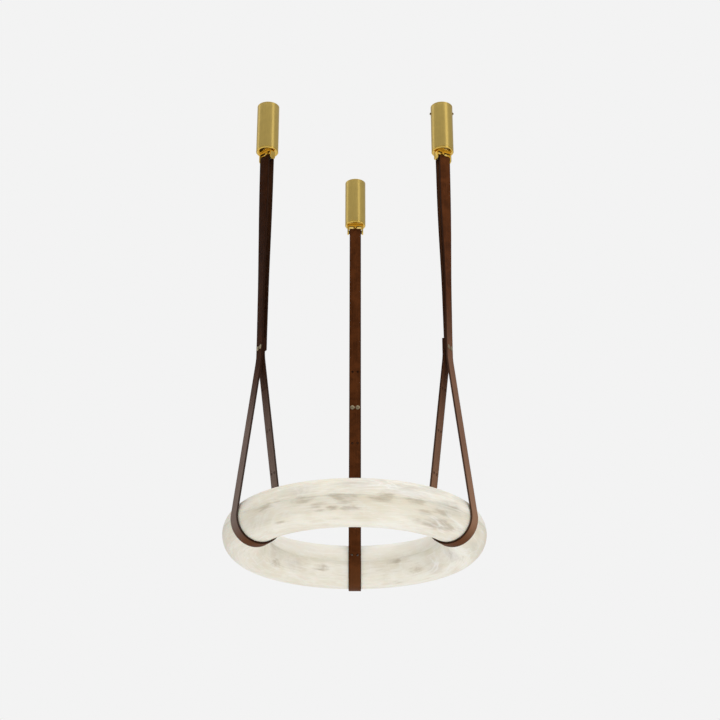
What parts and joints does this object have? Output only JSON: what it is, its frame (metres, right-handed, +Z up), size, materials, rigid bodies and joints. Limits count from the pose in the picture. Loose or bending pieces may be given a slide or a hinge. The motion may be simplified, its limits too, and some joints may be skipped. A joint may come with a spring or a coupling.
{
  "type": "alabaster ring pendant light",
  "caption": "Hollow alabaster ring light hung level by leather belt loops from round brass ceiling canopies with forks and sleeves.",
  "frame": {"origin": "on the ceiling plane, at the centre of the circle of the canopies' ceiling screws", "axes": "+Z up into the ceiling, the light hangs along -Z; the feed canopy is on +Y"},
  "size_m": [0.6, 0.6048, 1.1288],
  "materials": {
    "alabaster": "honed translucent stone, cream with grey-brown clouds and pale veins",
    "leather": "dark brown saddle leather, dyed edges",
    "satin_brass": "satin, drawn along the tube",
    "polished_brass": "polished",
    "stud_brass": "polished",
    "bracket_steel": "zinc plated",
    "dark_steel": "blackened",
    "black_sleeve": "matt black",
    "carrier_aluminium": "mill finish",
    "led_board": "white solder mask",
    "led_chip": "phosphor dome",
    "post_plastic": "natural nylon",
    "driver_plastic": "white, fine texture",
    "terminal_plastic": "natural polyamide"
  },
  "bodies": {
    "ceiling": {"far_ceiling_bracket": "bracket_steel", "far_canopy": "satin_brass", "far_canopy_screws": "dark_steel", "far_end_cap": "polished_brass", "far_fork": "polished_brass", "far_cross_screw": "polished_brass", "far_fork_bolt": "polished_brass", "far_fork_nut": "bracket_steel", "left_ceiling_bracket": "bracket_steel", "left_canopy": "satin_brass", "left_canopy_screws": "dark_steel", "left_end_cap": "polished_brass", "left_fork": "polished_brass", "left_cross_screw": "polished_brass", "left_fork_bolt": "polished_brass", "left_fork_nut": "bracket_steel", "right_ceiling_bracket": "bracket_steel", "right_canopy": "satin_brass", "right_canopy_screws": "dark_steel", "right_end_cap": "polished_brass", "right_fork": "polished_brass", "right_cross_screw": "polished_brass", "right_fork_bolt": "polished_brass", "right_fork_nut": "bracket_steel", "led_driver": "driver_plastic", "terminal_block": "terminal_plastic", "canopy_cable_bush": "black_sleeve"},
    "far_hanger": {"far_belt": "leather", "far_belt_studs": "stud_brass", "far_stud_screws": "stud_brass", "far_belt_sleeve": "black_sleeve"},
    "left_hanger": {"left_belt": "leather", "left_belt_studs": "stud_brass", "left_stud_screws": "stud_brass"},
    "right_hanger": {"right_belt": "leather", "right_belt_studs": "stud_brass", "right_stud_screws": "stud_brass"},
    "left_sleeve": {"left_belt_sleeve": "black_sleeve"},
    "right_sleeve": {"right_belt_sleeve": "black_sleeve"},
    "ring": {"alabaster_upper": "alabaster", "alabaster_lower": "alabaster", "locating_pins": "bracket_steel", "led_carrier": "carrier_aluminium", "led_strip": "led_board", "led_chips": "led_chip", "carrier_posts": "post_plastic", "ring_cable_bush": "black_sleeve"}
  },
  "joints": [
    {"name": "far_swing", "type": "hinge", "parent": "ceiling", "child": "far_hanger", "pos_m": [0, 0.248, -0.15], "axis": [1, 0, 0], "range_deg": [-2, 2]},
    {"name": "left_sleeve_turn", "type": "hinge", "parent": "ceiling", "child": "left_sleeve", "pos_m": [-0.21477, -0.124, -0.15], "axis": [0.7314, -0.682, 0], "range_deg": [-1.46, 1.46]},
    {"name": "left_belt_lean", "type": "hinge", "parent": "left_sleeve", "child": "left_hanger", "pos_m": [-0.21477, -0.124, -0.15], "axis": [-0.682, -0.7314, 0], "range_deg": [-1.36, 1.36]},
    {"name": "right_sleeve_turn", "type": "hinge", "parent": "ceiling", "child": "right_sleeve", "pos_m": [0.21477, -0.124, -0.15], "axis": [0.866, 0.5, 0], "range_deg": [-1.73, 1.73]},
    {"name": "right_belt_lean", "type": "hinge", "parent": "right_sleeve", "child": "right_hanger", "pos_m": [0.21477, -0.124, -0.15], "axis": [0.5, -0.866, 0], "range_deg": [-1, 1]},
    {"name": "ring_level", "type": "hinge", "parent": "far_hanger", "child": "ring", "pos_m": [0, 0.248, -1.072], "axis": [1, 0, 0], "range_deg": [-2, 2]}
  ],
  "couplings": [
    {"joint": "left_sleeve_turn", "follows": "far_swing", "ratio": 0.73135},
    {"joint": "left_belt_lean", "follows": "far_swing", "ratio": -0.682},
    {"joint": "right_sleeve_turn", "follows": "far_swing", "ratio": 0.86603},
    {"joint": "right_belt_lean", "follows": "far_swing", "ratio": 0.5},
    {"joint": "ring_level", "follows": "far_swing", "ratio": -1}
  ]
}
